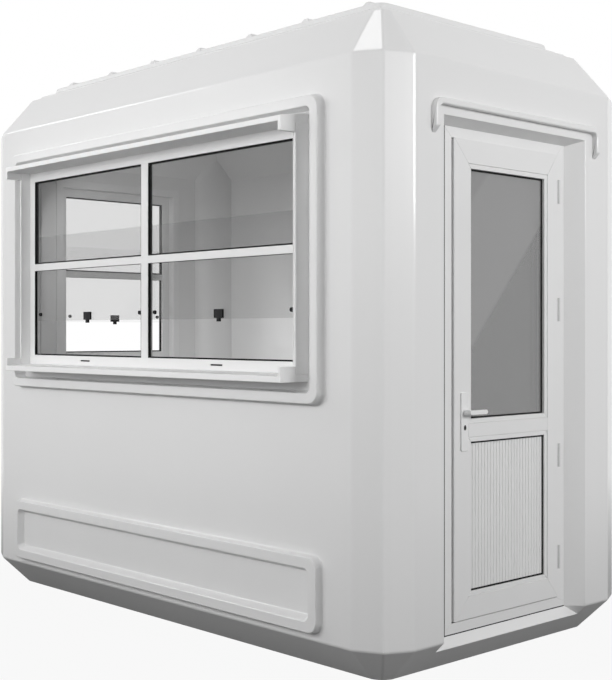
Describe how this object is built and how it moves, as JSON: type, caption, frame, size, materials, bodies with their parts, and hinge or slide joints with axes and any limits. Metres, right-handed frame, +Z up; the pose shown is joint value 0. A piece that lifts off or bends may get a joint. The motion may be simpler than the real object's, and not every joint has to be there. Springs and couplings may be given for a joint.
{
  "type": "security guard booth",
  "caption": "White moulded guard booth with faceted corners, stepped ribbed roof, tapered base, hooded serving windows on the front and one end, and a half-glazed outward-opening door.",
  "frame": {"origin": "middle of the footprint on the ground, on the underside of the base pan", "axes": "+X towards the door wall, -Y towards the front window wall, +Z up"},
  "size_m": [2.842, 1.632, 2.455],
  "materials": {
    "gel_coat": "soft gloss white gel coat on glass fibre",
    "window_trim": "soft gloss white moulding",
    "window_pvc": "satin white extruded frame",
    "door_pvc": "satin white extruded frame",
    "clear_glass": "clear float glass",
    "door_glass": "grey tinted glass",
    "black_fitting": "black moulded plastic",
    "handle_white": "white powder coat",
    "floor_board": "matt grey floor covering"
  },
  "bodies": {
    "booth": {"base_pan": "gel_coat", "corner_post_front_left": "gel_coat", "corner_post_front_right": "gel_coat", "corner_post_rear_left": "gel_coat", "corner_post_rear_right": "gel_coat", "door_drip": "gel_coat", "door_head": "door_pvc", "door_hinges_frame": "door_pvc", "door_jamb_hinge": "door_pvc", "door_jamb_latch": "door_pvc", "door_lintel": "gel_coat", "door_pier_front": "gel_coat", "door_pier_rear": "gel_coat", "door_sill": "door_pvc", "end_wall": "gel_coat", "end_window_canopy": "window_trim", "end_window_fixed_glass": "clear_glass", "end_window_frame": "window_pvc", "end_window_jambs": "window_trim", "end_window_knobs": "black_fitting", "end_window_latches": "black_fitting", "end_window_ledge": "window_trim", "end_window_sliding_glass": "clear_glass", "floor_board": "floor_board", "front_wall": "gel_coat", "front_window_canopy": "window_trim", "front_window_fixed_glass": "clear_glass", "front_window_frame": "window_pvc", "front_window_jambs": "window_trim", "front_window_knobs": "black_fitting", "front_window_latches": "black_fitting", "front_window_ledge": "window_trim", "front_window_sliding_glass": "clear_glass", "rear_wall": "gel_coat", "roof_panel": "gel_coat", "roof_skirt": "gel_coat"},
    "door_leaf": {"door_leaf_frame": "door_pvc", "door_glass": "door_glass", "door_lower_panel": "door_pvc", "door_handle_plates": "handle_white", "door_lock_cylinder": "black_fitting", "door_hinges_leaf": "door_pvc"},
    "door_lever": {"door_lever": "handle_white"}
  },
  "joints": [
    {"name": "door_swing", "type": "hinge", "parent": "booth", "child": "door_leaf", "pos_m": [1.295, 0.327, 0], "axis": [0, 0, 1], "range_deg": [0, 100]},
    {"name": "lever_turn", "type": "hinge", "parent": "door_leaf", "child": "door_lever", "pos_m": [1.296, -0.265, 0.938], "axis": [-1, 0, 0], "range_deg": [0, 40], "stiffness_Nm_per_rad": 1.5}
  ]
}
